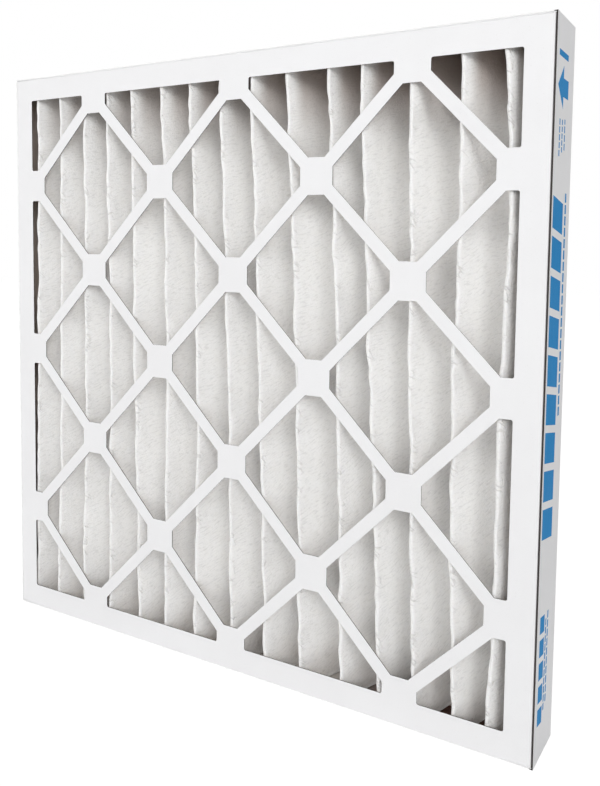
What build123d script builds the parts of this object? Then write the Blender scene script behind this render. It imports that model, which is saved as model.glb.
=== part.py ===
from build123d import *
import os
from math import asin, atan2, cos, degrees, hypot, pi, sin

# A pleated panel air filter standing on its lower edge. Width runs along X, height along Z,
# and air enters through the face at the low end of Y. The origin is under the middle of the panel.
# Two die-cut and folded paperboard trays telescope together round one pleated sheet of media,
# which carries a welded wire grid on its leaving side and is glued in all the way round.

# Outline of the finished panel, taken at the front edge of the outer tray
frame_width = 495.3
frame_height = 495.3
frame_depth = 44.45
side_splay = 2.0            # how far each side wall stands out at the back

# Paperboard trays
board = 0.6
fold_radius = 0.9           # outside of every fold between a face and its flanges
glue_clearance = 0.1        # room each side of what is glued between the two trays
seam_setback = 0.5          # the outer tray's cut edge lies this far behind the front face
inner_flange_gap = 4.45     # from the free edge of the inner tray to the back of the panel
tab_length = 22.0
tab_taper = 3.0             # how far a corner tab narrows to its free end
tab_relief = 1.0            # from the root of a tab to the face of its tray

# Die-cut lattice, the same in both faces
cells_across = 6
cells_up = 6
node_margin = 21.3          # outermost row of nodes from the edge of the front face
border = 19.15              # width of the frame bar round the windows of the front face
pad_size = 27.5             # square pad at each node
strip_width = 9.7
window_radius = 1.5         # rounding where a window meets the frame bar

# Pleated media
pleat_count = 15
ridge_margin_left = 22.0    # first and last front ridge from the sides of the panel
ridge_margin_right = 27.3
crowding_top = 13.0         # the ridges drift sideways, most in the middle of the top edge
crowding_bottom = 6.0       # and both ways from the middle of the bottom edge
media_thickness = 2.0
front_fold_radius = 2.6     # at the middle of the sheet
rear_fold_radius = 2.0
tip_clearance = 0.15        # between a fold and the face that it rests on
end_gap = 1.2               # from the side flange to each end of the sheet

# Welded wire grid
wire = 0.9
cross_wire_pitch = 88.9
line_wires_per_flank = 1
wire_clearance = 0.1
wire_end_inset = 6.0        # from the edges of the media to the first line of wire

# Glue
end_glue = 1.3              # thickness of the bed that the pleat ends stand in
end_glue_depth = 36.0
side_glue_depth = 5.0
side_glue_inset = 1.5       # from the free edge of the inner tray's flange
flange_glue_width = 10.0
flange_glue_inset = 4.0     # from the outer tray's cut edge to the glue line between the trays
glue_end_margin = 34.0      # glue lines stop this far short of the corners

# Places that follow from the sizes above
flange_step = 2 * board + 2 * glue_clearance
face_width = frame_width - 2 * flange_step
face_height = frame_height - 2 * flange_step
middle_height = frame_height / 2
front_y = -frame_depth / 2
rear_y = frame_depth / 2
outer_front_y = front_y + seam_setback
inner_half_width = face_width / 2 - board
inner_half_height = face_height / 2 - board
inner_flange = frame_depth - inner_flange_gap
outer_flange = rear_y - outer_front_y
cell_width = (face_width - 2 * node_margin) / cells_across
cell_height = (face_height - 2 * node_margin) / cells_up
media_bottom = middle_height - inner_half_height + end_glue + glue_clearance
media_top = middle_height + inner_half_height - end_glue - glue_clearance
media_end_x = inner_half_width - board - end_gap
ridge_pitch = (frame_width - ridge_margin_left - ridge_margin_right) / (pleat_count - 1)
cross_wire_room = wire + wire_clearance
front_tip_y = front_y + board + tip_clearance
rear_tip_y = rear_y - board - tip_clearance - cross_wire_room
front_centre_y = front_tip_y + media_thickness / 2 + front_fold_radius
rear_centre_y = rear_tip_y - media_thickness / 2 - rear_fold_radius
media_end_y = rear_tip_y - media_thickness

os.makedirs("parts", exist_ok=True)


def splay_at(y):
    """How far the outer tray's side walls stand out from the panel's width at depth y."""
    return side_splay * (y - outer_front_y) / outer_flange


def lattice_nodes():
    """Centres of the lattice's pads, measured from the middle of the face."""
    return [
        ((across - cells_across / 2) * cell_width, (up - cells_up / 2) * cell_height)
        for across in range(cells_across + 1)
        for up in range(cells_up + 1)
        if (across + up) % 2
    ]


def cell_centres(leaning):
    """Centres of the cells whose strip leans one way, measured from the middle of the face."""
    return [
        ((across + 0.5 - cells_across / 2) * cell_width, (up + 0.5 - cells_up / 2) * cell_height)
        for across in range(cells_across)
        for up in range(cells_up)
        if (across + up) % 2 == leaning
    ]


def window_sketch(y):
    """The windows of one face: the field inside the frame bar less strips and pads."""
    slope = degrees(atan2(cell_height, cell_width))
    cell_diagonal = hypot(cell_width, cell_height)
    field_width = face_width - 2 * border
    field_height = face_height - 2 * border
    plane = Plane((0, y, middle_height), x_dir=(1, 0, 0), z_dir=(0, -1, 0))
    with BuildSketch(plane) as windows:
        Rectangle(field_width, field_height)
        for leaning in (0, 1):
            with Locations(*cell_centres(leaning)):
                turn = slope if leaning else -slope
                Rectangle(cell_diagonal, strip_width, rotation=turn, mode=Mode.SUBTRACT)
        with Locations(*lattice_nodes()):
            Rectangle(pad_size, pad_size, mode=Mode.SUBTRACT)
        rim = [
            corner for corner in windows.vertices()
            if abs(abs(corner.X) - field_width / 2) < 0.01
            or abs(abs(corner.Y) - field_height / 2) < 0.01
        ]
        fillet(rim, window_radius)
    return windows.sketch


def corner_tab(near, far, way):
    """Outline of a tab that lies on a flange, from the near and far ends of its root."""
    return [
        near,
        (near[0] + way * tab_length, near[1] + tab_taper),
        (far[0] + way * tab_length, far[1] - tab_taper),
        far,
    ]


# Inner tray: its face is the front of the panel, and its flanges run back inside the outer tray
with BuildPart() as front_frame:
    with BuildSketch(Plane((0, front_y, middle_height), x_dir=(1, 0, 0), z_dir=(0, -1, 0))):
        Rectangle(face_width, face_height)
    extrude(amount=-inner_flange)
    front_folds = front_frame.faces().sort_by(Axis.Y)[0].edges()
    fillet(front_folds, fold_radius)
    cavity_plane = Plane((0, front_y + board, middle_height), x_dir=(1, 0, 0), z_dir=(0, -1, 0))
    with BuildSketch(cavity_plane):
        Rectangle(2 * inner_half_width, 2 * inner_half_height)
    extrude(amount=-inner_flange, mode=Mode.SUBTRACT)
    extrude(window_sketch(front_y), amount=-board, mode=Mode.SUBTRACT)
    # Tabs from the top and bottom flanges, folded round the corners onto the side flanges
    for side in (-1, 1):
        wall = Plane((side * inner_half_width, 0, 0), x_dir=(0, 0, 1), z_dir=(-side, 0, 0))
        for end in (-1, 1):
            root = middle_height + end * (inner_half_height + board / 2)
            near, far = front_y + board + tab_relief, front_y + inner_flange
            with BuildSketch(wall):
                with BuildLine():
                    outline = corner_tab((root, near), (root, far), -end)
                    Polyline(*[(z, side * y) for z, y in outline], close=True)
                make_face()
            extrude(amount=board)
front_frame.part.label = "front_frame"
export_step(front_frame.part, "parts/front_frame.step")



def splayed_plan(depth, wall):
    """Corners of the outer tray's plan, from its free edge to depth, drawn in by wall."""
    front, rear = [frame_width / 2 + splay_at(y) - wall for y in (outer_front_y, depth)]
    return [(-front, outer_front_y), (front, outer_front_y), (rear, depth), (-rear, depth)]


# Outer tray: its face is the back of the panel, and its flanges are the side walls that show
with BuildPart() as rear_frame:
    with BuildSketch(Plane.XY):
        with BuildLine():
            Polyline(*splayed_plan(rear_y, 0), close=True)
        make_face()
    extrude(amount=frame_height)
    rear_folds = rear_frame.faces().sort_by(Axis.Y)[-1].edges()
    fillet(rear_folds, fold_radius)
    with BuildSketch(Plane.XY.offset(board)):
        with BuildLine():
            Polyline(*splayed_plan(rear_y - board, board), close=True)
        make_face()
    extrude(amount=frame_height - 2 * board, mode=Mode.SUBTRACT)
    extrude(window_sketch(rear_y), amount=board, mode=Mode.SUBTRACT)
    # Tabs from the side walls, folded round the corners under the top and bottom walls
    for end in (-1, 1):
        wall_height = middle_height + end * (frame_height / 2 - board)
        wall = Plane((0, 0, wall_height), x_dir=(1, 0, 0), z_dir=(0, 0, -end))
        for side in (-1, 1):
            near, far = [
                (side * (frame_width / 2 - board / 2 + splay_at(y)), y)
                for y in (outer_front_y, rear_y - board - tab_relief)
            ]
            with BuildSketch(wall):
                with BuildLine():
                    outline = corner_tab(near, far, -side)
                    Polyline(*[(x, -end * y) for x, y in outline], close=True)
                make_face()
            extrude(amount=board)
rear_frame.part.label = "rear_frame"
export_step(rear_frame.part, "parts/rear_frame.step")


def ridge_x(number, up):
    """Front ridge's place along X, counted from the left, at the height fraction up."""
    along = number / (pleat_count - 1)
    even = -frame_width / 2 + ridge_margin_left + number * ridge_pitch
    top_drift = -crowding_top * sin(pi * along)
    bottom_drift = -crowding_bottom * sin(2 * pi * along)
    return even + up * top_drift + (1 - up) * bottom_drift


def fold_centres(up):
    """Centre of each fold and the sheet's offset from it, between the two free ends."""
    ridges = [ridge_x(number, up) for number in range(pleat_count)]
    valleys = [(a + b) / 2 for a, b in zip(ridges, ridges[1:])]
    centres = [(-media_end_x, media_end_y, 0)]
    for ridge, valley in zip(ridges, valleys + [None]):
        centres.append((ridge, front_centre_y, -front_fold_radius))
        if valley is not None:
            centres.append((valley, rear_centre_y, rear_fold_radius))
    return centres + [(media_end_x, media_end_y, 0)]


def straight_run(start, end):
    """A point on the flank between two folds and its heading, tangent to both folds."""
    across, deep = end[0] - start[0], end[1] - start[1]
    heading = atan2(deep, across) - asin((start[2] - end[2]) / hypot(across, deep))
    return (start[0] - start[2] * sin(heading), start[1] + start[2] * cos(heading)), heading


def crossing(first, second):
    """Where two runs, each a point and a heading, would meet."""
    (x, y), heading = first
    (other_x, other_y), other = second
    reach = ((other_x - x) * sin(other) - (other_y - y) * cos(other)) / sin(other - heading)
    return (x + reach * cos(heading), y + reach * sin(heading))


def fold_points(up):
    """Sharp corners of the sheet's middle line at the height fraction up, end to end."""
    centres = fold_centres(up)
    runs = [straight_run(a, b) for a, b in zip(centres, centres[1:])]
    corners = [crossing(a, b) for a, b in zip(runs, runs[1:])]
    return [centres[0][:2]] + corners + [centres[-1][:2]]


def unit_normal(start, end):
    """Unit vector to the left of the run from start to end, which is the rear side."""
    run = hypot(end[0] - start[0], end[1] - start[1])
    return (-(end[1] - start[1]) / run, (end[0] - start[0]) / run)


def shifted(points, distance):
    """A zigzag moved sideways by distance, with its corners mitred."""
    normals = [unit_normal(a, b) for a, b in zip(points, points[1:])]
    moved = []
    for place, (x, y) in enumerate(points):
        before = normals[max(place - 1, 0)]
        after = normals[min(place, len(normals) - 1)]
        scale = distance / (1 + before[0] * after[0] + before[1] * after[1])
        moved.append((x + scale * (before[0] + after[0]), y + scale * (before[1] + after[1])))
    return moved


def media_sketch(height, up):
    """Section of the pleated sheet at one height, with its folds rounded."""
    half = media_thickness / 2
    middle = fold_points(up)
    front_side = shifted(middle, -half)
    rear_side = shifted(middle, half)
    corners = range(len(middle) - 2)
    front_radii = [rear_fold_radius - half if n % 2 else front_fold_radius + half for n in corners]
    rear_radii = [rear_fold_radius + half if n % 2 else front_fold_radius - half for n in corners]
    with BuildSketch(Plane.XY.offset(height)) as section:
        with BuildLine():
            FilletPolyline(*front_side, radius=front_radii)
            FilletPolyline(*rear_side, radius=rear_radii)
            Line(front_side[0], rear_side[0])
            Line(front_side[-1], rear_side[-1])
        make_face()
    return section.sketch


with BuildPart() as pleated_media:
    loft([media_sketch(media_bottom, 0), media_sketch(media_top, 1)], ruled=True)
pleated_media.part.label = "pleated_media"
export_step(pleated_media.part, "parts/pleated_media.step")


def level_cut(start, end, y):
    """The point at depth y on the run from start to end."""
    share = (y - start[1]) / (end[1] - start[1])
    return (start[0] + share * (end[0] - start[0]), y)


def wire_run(up, layer):
    """Middle line of a wire that follows the sheet's rear side, layer 0 lying on the sheet.

    It goes over each rear fold in two bends and turns in one bend inside each front fold.
    """
    level = (layer + 1) * wire_clearance + (layer + 0.5) * wire
    rear_side = shifted(fold_points(up), media_thickness / 2)
    run = shifted(rear_side, level)
    fold_floor = front_centre_y - front_fold_radius + media_thickness / 2
    points = [run[0]]
    for place in range(1, len(run) - 1):
        if place % 2:
            x, y = run[place]
            points.append((x, y + fold_floor - rear_side[place][1]))
        else:
            points.append(level_cut(run[place - 1], run[place], rear_tip_y + level))
            points.append(level_cut(run[place], run[place + 1], rear_tip_y + level))
    return points + [run[-1]]


def height_share(height):
    """Height as a fraction of the media's own, 0 at its lower edge and 1 at its upper edge."""
    return (height - media_bottom) / (media_top - media_bottom)


def line_wire_places(up):
    """Middle of each upright wire and the heading of its flank, at the height fraction up."""
    run = wire_run(up, 1)
    flanks = [pair for place, pair in enumerate(zip(run, run[1:])) if place % 3 < 2]
    places = []
    for start, end in flanks:
        heading = degrees(atan2(end[1] - start[1], end[0] - start[0]))
        for number in range(line_wires_per_flank):
            share = (number + 0.5) / line_wires_per_flank
            x = start[0] + share * (end[0] - start[0])
            places.append((x, start[1] + share * (end[1] - start[1]), heading))
    return places


# Welded wire grid on the leaving side: cross wires folded with the sheet, upright line wires
with BuildPart() as wire_backing:
    wire_bottom = media_bottom + wire_end_inset
    wire_top = media_top - wire_end_inset
    cross_count = int((wire_top - wire_bottom) / cross_wire_pitch) + 1
    cross_start = (wire_bottom + wire_top - (cross_count - 1) * cross_wire_pitch) / 2
    wires = []
    for number in range(cross_count):
        height = cross_start + number * cross_wire_pitch
        middle = wire_run(height_share(height), 0)
        with BuildSketch(Plane.XY.offset(height - wire / 2), mode=Mode.PRIVATE) as cross_section:
            with BuildLine():
                Polyline(*shifted(middle, -wire / 2), *reversed(shifted(middle, wire / 2)), close=True)
            make_face()
        wires.append(extrude(cross_section.sketch, amount=wire, mode=Mode.PRIVATE))
    lower_ends = line_wire_places(height_share(wire_bottom))
    upper_ends = line_wire_places(height_share(wire_top))
    for lower, upper in zip(lower_ends, upper_ends):
        lean = Vector(upper[0] - lower[0], upper[1] - lower[1], wire_top - wire_bottom)
        with BuildSketch(Plane.XY.offset(wire_bottom), mode=Mode.PRIVATE) as line_section:
            with Locations(lower[:2]):
                Rectangle(wire, wire, rotation=lower[2])
        wires.append(extrude(line_section.sketch, amount=lean.length, dir=lean, mode=Mode.PRIVATE))
    add(wires)
wire_backing.part.label = "wire_backing"
export_step(wire_backing.part, "parts/wire_backing.step")

# Beds of glue on the top and bottom flanges, in which the ends of the pleats stand
bed_half_width = inner_half_width - board - glue_clearance
for name, end in (("end_glue_top", 1), ("end_glue_bottom", -1)):
    flange = Plane((0, 0, middle_height + end * inner_half_height), x_dir=(1, 0, 0), z_dir=(0, 0, -end))
    with BuildPart() as end_bed:
        with BuildSketch(flange):
            with Locations((0, -end * (front_tip_y + end_glue_depth / 2))):
                Rectangle(2 * bed_half_width, end_glue_depth)
        extrude(amount=end_glue)
    end_bed.part.label = name
    export_step(end_bed.part, f"parts/{name}.step")

# Glue lines on the side flanges, under the two free ends of the sheet
side_glue = board + end_gap - media_thickness / 2 - 2 * glue_clearance
side_glue_y = front_y + inner_flange - side_glue_inset - side_glue_depth / 2
side_glue_length = 2 * (inner_half_height - glue_end_margin)
for name, side in (("side_glue_left", -1), ("side_glue_right", 1)):
    flange = Plane((side * inner_half_width, 0, middle_height), x_dir=(0, 0, 1), z_dir=(-side, 0, 0))
    with BuildPart() as side_line:
        with BuildSketch(flange):
            with Locations((0, side * side_glue_y)):
                Rectangle(side_glue_length, side_glue_depth)
        extrude(amount=side_glue)
    side_line.part.label = name
    export_step(side_line.part, f"parts/{name}.step")

# Glue lines between the two trays, one on the outside of each flange of the inner tray
flange_glue_y = outer_front_y + flange_glue_inset + flange_glue_width / 2
flange_glue = flange_step - board - 2 * glue_clearance
side_flange_glue = flange_glue + splay_at(outer_front_y + flange_glue_inset)
upper_face = (0, 0, middle_height + face_height / 2 + glue_clearance)
lower_face = (0, 0, middle_height - face_height / 2 - glue_clearance)
left_face = (-face_width / 2 - glue_clearance, 0, middle_height)
right_face = (face_width / 2 + glue_clearance, 0, middle_height)
level_glue = frame_width - 2 * glue_end_margin
upright_glue = frame_height - 2 * glue_end_margin
flange_glue_lines = (
    ("flange_glue_top", Plane(upper_face, x_dir=(1, 0, 0), z_dir=(0, 0, 1)), level_glue, 1, flange_glue),
    ("flange_glue_bottom", Plane(lower_face, x_dir=(1, 0, 0), z_dir=(0, 0, -1)), level_glue, -1, flange_glue),
    ("flange_glue_left", Plane(left_face, x_dir=(0, 0, 1), z_dir=(-1, 0, 0)), upright_glue, 1, side_flange_glue),
    ("flange_glue_right", Plane(right_face, x_dir=(0, 0, 1), z_dir=(1, 0, 0)), upright_glue, -1, side_flange_glue),
)
for name, flange, length, way, thickness in flange_glue_lines:
    with BuildPart() as flange_line:
        with BuildSketch(flange):
            with Locations((0, way * flange_glue_y)):
                Rectangle(length, flange_glue_width)
        extrude(amount=thickness)
    flange_line.part.label = name
    export_step(flange_line.part, f"parts/{name}.step")
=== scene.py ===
import bpy
import numpy as np
from bpy.props import FloatProperty, FloatVectorProperty, IntProperty, PointerProperty
from mathutils import Matrix, Vector


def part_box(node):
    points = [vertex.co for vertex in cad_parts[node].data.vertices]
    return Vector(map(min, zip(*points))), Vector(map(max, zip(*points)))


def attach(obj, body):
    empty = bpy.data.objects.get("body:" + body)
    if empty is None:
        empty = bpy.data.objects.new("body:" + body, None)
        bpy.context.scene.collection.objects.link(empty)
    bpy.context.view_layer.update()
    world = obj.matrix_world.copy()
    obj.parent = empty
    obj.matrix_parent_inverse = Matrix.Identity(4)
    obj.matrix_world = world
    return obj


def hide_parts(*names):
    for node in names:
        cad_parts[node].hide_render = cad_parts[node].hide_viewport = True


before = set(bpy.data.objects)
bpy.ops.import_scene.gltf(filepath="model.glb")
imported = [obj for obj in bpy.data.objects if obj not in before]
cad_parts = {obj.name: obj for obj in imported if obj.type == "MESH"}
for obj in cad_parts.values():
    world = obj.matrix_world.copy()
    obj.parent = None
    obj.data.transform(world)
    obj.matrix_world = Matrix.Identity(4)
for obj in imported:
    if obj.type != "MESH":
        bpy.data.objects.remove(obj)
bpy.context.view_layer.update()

bl_info = {
    "name": "Pleated Panel Filter",
    "version": (1, 0, 0),
    "blender": (4, 5, 0),
    "location": "3D View > Sidebar > Filter",
    "description": "Builds the pleats, wire grid and finishes of a pleated panel air filter",
    "category": "Object",
}

MEDIA_LOW, MEDIA_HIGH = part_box("pleated_media")
FRONT_LOW, FRONT_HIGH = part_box("front_frame")
REAR_LOW, REAR_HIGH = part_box("rear_frame")

# Half the panel's width at its front face
PANEL_SIDE = FRONT_HIGH.x + 0.0014
# Room between the sides of the two trays
GROOVE = 0.0008
# Half the width of the field in which a tray's windows lie
WINDOW_FIELD = 0.2405

# Sideways drift of each front ridge from the even rows, in millimetres, at the lower edge, at a
# quarter, half and three quarters of the height and at the upper edge: glued pleats run crooked
RIDGE_DRIFT = (
    (-2.9, 0.4, 2.5, 4.2, 4.3), (-3.7, 0.9, 3.7, 5.0, 5.1), (-0.5, 3.2, 5.1, 5.2, 3.6),
    (1.8, 3.9, 4.4, 4.1, 1.7), (5.0, 3.5, 2.1, 1.6, 0.9), (-0.2, 3.9, 5.7, 5.5, 2.9),
    (-1.7, 3.4, 5.6, 5.0, 1.5), (2.1, 3.9, 4.1, 2.7, -0.3), (1.5, 1.4, 0.6, -0.8, -2.8),
    (0.0, 1.3, 1.3, 0.0, -2.6), (2.8, 3.9, 3.8, 2.3, -0.5), (1.9, 1.8, -2.4, -5.0, -6.6),
    (-1.2, -1.3, -3.3, -2.8, -2.9), (-0.7, -2.4, -4.0, -0.5, 0.5), (-5.1, -2.3, -2.6, 0.9, -4.9),
)
# Kinks of a ridge: pitch in metres, and share of the full reach
RIDGE_KINKS = ((0.034, 0.9), (0.018, 0.9), (0.008, 0.6))
VALLEY_KINK_PITCH = 0.05
# Mean step back of the folds, which wanders between nothing and twice that, and its pitch
FOLD_DEPTH, FOLD_DEPTH_PITCH = 0.0004, 0.06
# Share of half a thickness from the solid's side to the sheet's own end
END_SHARE = 0.95
# Waves up a flank: pitch in metres and share of the full height, and the spread of the pitch
FLANK_WAVES, WAVE_SPREAD = ((0.190, 1.0), (0.083, 0.8), (0.037, 0.45)), (0.8, 1.25)
# A flank's bulge sways sideways at this pitch, by this share
SWAY_PITCH, SWAY_SHARE = 0.31, 0.25
# Dents lie this far on either side of a ridge, at this pitch
DENT_REACH, DENT_PITCH = 0.006, 0.0075
# The short lower edge: how high it reaches, the X and the run over which it grows, its least share
LIFT_HEIGHT, LIFT_FROM, LIFT_RUN, LEAST_LIFT = 0.03, 0.05, 0.12, 0.05

# Rows of plain blocks printed up the right side wall, in millimetres: middle of the row and its
# width in depth from the panel's front, lower and upper end from the panel's top, step from block
# to block, filled share of a step, slant
INK_RUNS = (
    (18.0, 22.0, 26.0, 22.0, 4.0, 1.0, 0.0),
    (13.0, 2.2, 89.0, 64.0, 5.0, 0.78, 0.0),
    (19.0, 2.2, 86.0, 64.0, 4.4, 0.78, 0.0),
    (25.0, 2.2, 84.0, 64.0, 5.6, 0.78, 0.0),
    (15.5, 24.0, 342.0, 112.0, 25.6, 0.8, 0.18),
    (33.5, 3.4, 262.0, 110.0, 7.6, 0.8, 0.0),
    (12.0, 10.5, 470.0, 390.0, 16.0, 0.74, 0.15),
    (20.5, 2.4, 464.0, 398.0, 6.0, 0.8, 0.0),
    (25.0, 2.4, 460.0, 394.0, 6.6, 0.8, 0.0),
)

# Name, place and width of each lamp: the main one, one at the side and one behind
LAMPS = (("key", (-0.7, -3.4, 1.7), 2.0), ("fill", (2.9, -2.7, 1.9), 2.2),
         ("back", (-1.0, 2.6, 1.5), 1.8))
LAMP_TARGET = (0.0, 0.0, 0.25)
# Place of the camera, and its directions to the right, down and forward
CAMERA_PLACE = (0.358613, -0.506354, 0.343316)
CAMERA_AXES = ((0.885656, 0.464043, 0.016648), (0.045199, -0.050472, -0.997702),
               (-0.462136, 0.884374, -0.065675))
CAMERA_LENS, CAMERA_SHIFT = 45.295, (-0.08491, -0.15456)


def tone(red, green, blue):
    """A colour given in 0 to 255 steps on screen, as the linear value that a shader takes."""
    screen = np.array([red, green, blue]) / 255
    return tuple(np.where(screen < 0.04045, screen / 12.92, ((screen + 0.055) / 1.055) ** 2.4))


# Tones of the fleece's grain and strokes, and painted shade: in creases, under the top bar, brown
# at the ends with glue stain, on the last flank
GRAIN_TONE, STROKE_TONE, CREASE_SHADE_TONE = tone(230, 229, 227), tone(219, 218, 217), tone(184, 181, 177)
TOP_BAR_SHADE_TONE, BROWN_SHADE_AND_GLUE_TONE, LAST_FLANK_SHADE_TONE = tone(178, 176, 174), tone(152, 132, 120), tone(176, 173, 170)
# Clouds and specks of the coated board, darker raw board, and the rim painted near white as painted
# light against the shade in the seam's groove
CLOUD_TONE, SPECK_TONE = tone(237, 236, 237), tone(218, 215, 212)
RAW_TONE, RIM_PAINTED_LIGHT_TONE = tone(204, 190, 180), tone(250, 250, 249)
# Darker zinc, clouds of the lip, pale glue and the darkest glue
ZINC_TONE, LIP_TONE = tone(140, 143, 146), tone(234, 233, 233)
PALE_GLUE_TONE, DARK_GLUE_TONE = tone(204, 198, 192), tone(70, 44, 36)


def length(name, description, default):
    return FloatProperty(name=name, description=description, default=default, unit="LENGTH",
                         subtype="DISTANCE", precision=5)


def colour(name, description, default):
    return FloatVectorProperty(name=name, description=description, default=default, size=3,
                               subtype="COLOR", min=0, max=1)


def power(name, description, default):
    return FloatProperty(name=name, description=description, default=default, unit="POWER")


class FilterMediumSettings(bpy.types.PropertyGroup):
    """Sizes and colours of the pleated medium"""
    thickness: length("Thickness", "Thickness of the medium", 0.0017)
    front_radius: length("Front fold", "Radius of a front fold at the middle of the sheet", 0.0010)
    rear_radius: length("Rear fold", "Radius of a rear fold at the middle of the sheet", 0.0013)
    margin_left: length("Left margin", "From the panel's left side to the first ridge", 0.0220)
    margin_right: length("Right margin", "From the last ridge to the panel's right side", 0.0273)
    crowding_top: length("Upper drift", "Sideways drift of the middle ridges at the top", 0.0130)
    crowding_bottom: length("Lower drift", "Sideways drift of the ridges at the bottom", 0.0060)
    lean: length("Lean", "How far the last rear folds stand to the right of their middle", 0.0066)
    bow: length("Bow", "How far a flank bulges outwards between its folds", 0.0004)
    wave: length("Wave", "Height of the slow waves along a flank", 0.0006)
    kink: length("Kink", "Reach of the small kinks in a fold line", 0.0008)
    dent: length("Dent", "Depth of the small dents along a front fold", 0.00034)
    short: length("Short end", "How far the sheet's lower edge is short of its rear folds", 0.0020)
    rows: IntProperty(name="Rows", description="Rows of faces up the sheet", default=145)
    flank_steps: IntProperty(name="Flank steps", description="Faces across a flank", default=6)
    fold_steps: IntProperty(name="Fold steps", description="Faces round a fold", default=5)
    seed: IntProperty(name="Seed", description="Draw of the small irregularities", default=11)
    fibre: colour("Fibre", "Colour of the clean fibre", tone(254, 253, 252))
    hollow: colour("Hollow", "Colour of the thinner places between the fibres", tone(249, 248, 246))


class FilterWireSettings(bpy.types.PropertyGroup):
    """Sizes and colours of the wire grid"""
    diameter: length("Diameter", "Diameter of a wire", 0.0009)
    clearance: length("Clearance", "Between a wire and what it lies on", 0.0001)
    cross_pitch: length("Cross pitch", "Height between two cross wires", 0.0889)
    end_inset: length("End inset", "From the medium's edges to the ends of the grid", 0.0060)
    sides: IntProperty(name="Sides", description="Faces round a wire", default=8)
    zinc: colour("Zinc", "Colour of the galvanised coat", tone(186, 190, 192))


class FilterBoardSettings(bpy.types.PropertyGroup):
    """Colours of the paperboard trays, of the print on the side wall and of the glue"""
    white: colour("Coated side", "Clay-coated outside of the board", tone(242, 242, 243))
    raw: colour("Raw side", "Uncoated inside of the board", tone(222, 210, 202))
    cut: colour("Cut edge", "Edge of the board where it is cut", tone(62, 58, 56))
    ink: colour("Ink", "Print on the side wall", tone(0, 134, 200))
    glue: colour("Glue", "Set glue over raw board", tone(98, 66, 54))


class FilterLipSettings(bpy.types.PropertyGroup):
    """Sizes of the paper lip that closes the seam between the two trays"""
    radius: length("Radius", "Radius of the rolled lip", 0.00044)
    setback: length("Setback", "From the panel's front face to the middle of the lip", 0.0009)
    side: length("Side", "From the panel's middle to the seam beside the front face", 0.24665)
    height: length("Height", "From the panel's top or bottom to the seam", 0.0010)
    sides: IntProperty(name="Sides", description="Faces round the lip", default=10)


class FilterStageSettings(bpy.types.PropertyGroup):
    """Floor, lights and camera"""
    floor: colour("Floor", "Colour of the floor", (0.9, 0.9, 0.9))
    sky: FloatProperty(name="Sky", description="Strength of the soft light round it", default=0.29)
    key: power("Key light", "Power of the main lamp", 54.0)
    back: power("Back light", "Power of the rear lamp", 34.0)
    fill: power("Fill light", "Power of the side lamp", 54.0)


def smooth_drift(up):
    """Each ridge's drift in metres at the height fractions up, as heights by ridges.

    The Catmull-Rom curve through the five given heights: a cubic between each two of them, whose
    slope at a given height is half the difference of its two neighbours.
    """
    drift = np.array(RIDGE_DRIFT).T / 1000
    ends = 2 * drift[[0, -1]] - drift[[1, -2]]
    drift = np.concatenate([ends[:1], drift, ends[1:]])
    place = np.minimum((up * 4).astype(int), 3)
    t = (up * 4 - place)[:, None]
    before, start, end, after = (drift[place + step] for step in range(4))
    return (2 * start + (end - before) * t + (2 * before - 5 * start + 4 * end - after) * t ** 2
            + (3 * start - before - 3 * end + after) * t ** 3) / 2


def kinked(rng, lines, heights, pitch, reach):
    """Small wander of folded cloth: each line runs smoothly between random offsets a pitch apart.

    Between two offsets the way from one to the other is 3 times the square of its share less
    2 times its cube.
    """
    position = (heights - heights[0]) / pitch
    place = position.astype(int)
    share = position - place
    share = share * share * (3 - 2 * share)
    offsets = rng.uniform(-reach, reach, (place[-1] + 2, lines))
    return offsets[place] * (1 - share[:, None]) + offsets[place + 1] * share[:, None]


def ridge_places(settings, up):
    """X of every front ridge at the height fractions up, as heights by ridges.

    Even steps between the margins, less the upper drift times the sine of half a turn and, in the
    lower part, less the lower drift times the sine of a whole turn, plus each ridge's own drift.
    """
    along = np.arange(len(RIDGE_DRIFT)) / (len(RIDGE_DRIFT) - 1)
    span = 2 * PANEL_SIDE - settings.margin_left - settings.margin_right
    even = -PANEL_SIDE + settings.margin_left + along * span
    top = settings.crowding_top * np.sin(np.pi * along)
    bottom = settings.crowding_bottom * np.sin(2 * np.pi * along)
    rise = up[:, None]
    return even - rise * top - (1 - rise) * bottom + smooth_drift(up)


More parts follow.
